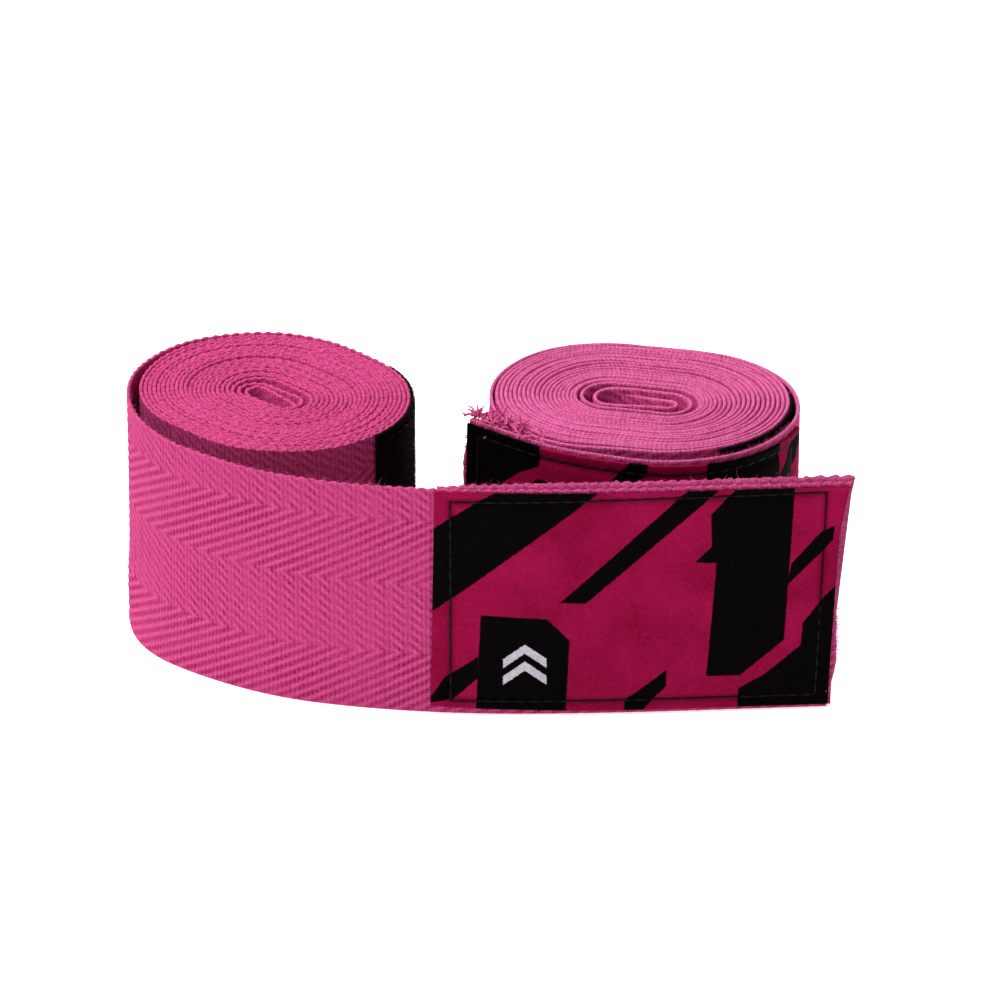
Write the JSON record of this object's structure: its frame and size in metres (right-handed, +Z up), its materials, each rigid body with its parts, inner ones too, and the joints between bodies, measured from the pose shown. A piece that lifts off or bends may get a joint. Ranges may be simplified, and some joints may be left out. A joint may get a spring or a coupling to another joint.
{
  "type": "hand wrap",
  "caption": "Pair of cotton boxing hand wraps, one rolled up and one with its labelled hook-and-loop tab pulled open, standing on edge.",
  "frame": {"origin": "middle of the pair's footprint, on the surface that both rolls stand on", "axes": "+X along the open tail towards its label's free end, +Y away from the side that shows the labels, +Z up across the tape's width"},
  "size_m": [0.1434, 0.0742, 0.05],
  "materials": {
    "webbing": "hot pink cotton herringbone webbing",
    "label": "woven satin label, deep pink with black bands",
    "loop_pile": "brushed pink loop pile",
    "hook_tape": "black hook tape, nappy and matt",
    "loop_tape": "narrow pink cotton tape",
    "thread_black": "black polyester sewing thread",
    "thread_pink": "pink polyester sewing thread"
  },
  "bodies": {
    "open_roll": {"open_wrap_rolled_webbing": "webbing", "open_wrap_hook_patch": "hook_tape", "open_wrap_hook_patch_stitching": "thread_black", "open_wrap_thumb_loop": "loop_tape", "open_wrap_thumb_loop_bartack": "thread_pink"},
    "open_tail": {"open_wrap_tail_webbing": "webbing"},
    "open_tab": {"open_wrap_tab_webbing": "webbing", "open_wrap_woven_label": "label", "open_wrap_label_stitching": "thread_black", "open_wrap_loop_patch": "loop_pile"},
    "closed_roll": {"closed_wrap_rolled_webbing": "webbing", "closed_wrap_hook_patch": "hook_tape", "closed_wrap_hook_patch_stitching": "thread_black", "closed_wrap_thumb_loop": "loop_tape", "closed_wrap_thumb_loop_bartack": "thread_pink"},
    "closed_tab": {"closed_wrap_tab_webbing": "webbing", "closed_wrap_woven_label": "label", "closed_wrap_label_stitching": "thread_black", "closed_wrap_loop_patch": "loop_pile"}
  },
  "joints": [
    {"name": "tail_swing", "type": "hinge", "parent": "open_roll", "child": "open_tail", "pos_m": [-0.0685, 0.02265, 0.025], "axis": [0, 0, -1], "range_deg": [0, 120]},
    {"name": "label_fold", "type": "hinge", "parent": "open_tail", "child": "open_tab", "pos_m": [-0.01145, -0.03516, 0.025], "axis": [0, 0, -1], "range_deg": [0, 120]},
    {"name": "closed_wrap_lift", "type": "slide", "parent": "open_roll", "child": "closed_roll", "axis": [0, 0, 1], "range_m": [0, 0.12]},
    {"name": "closed_label_peel", "type": "hinge", "parent": "closed_roll", "child": "closed_tab", "pos_m": [0.06329, -0.00297, 0.025], "axis": [0, 0, 1], "range_deg": [0, 15]}
  ]
}
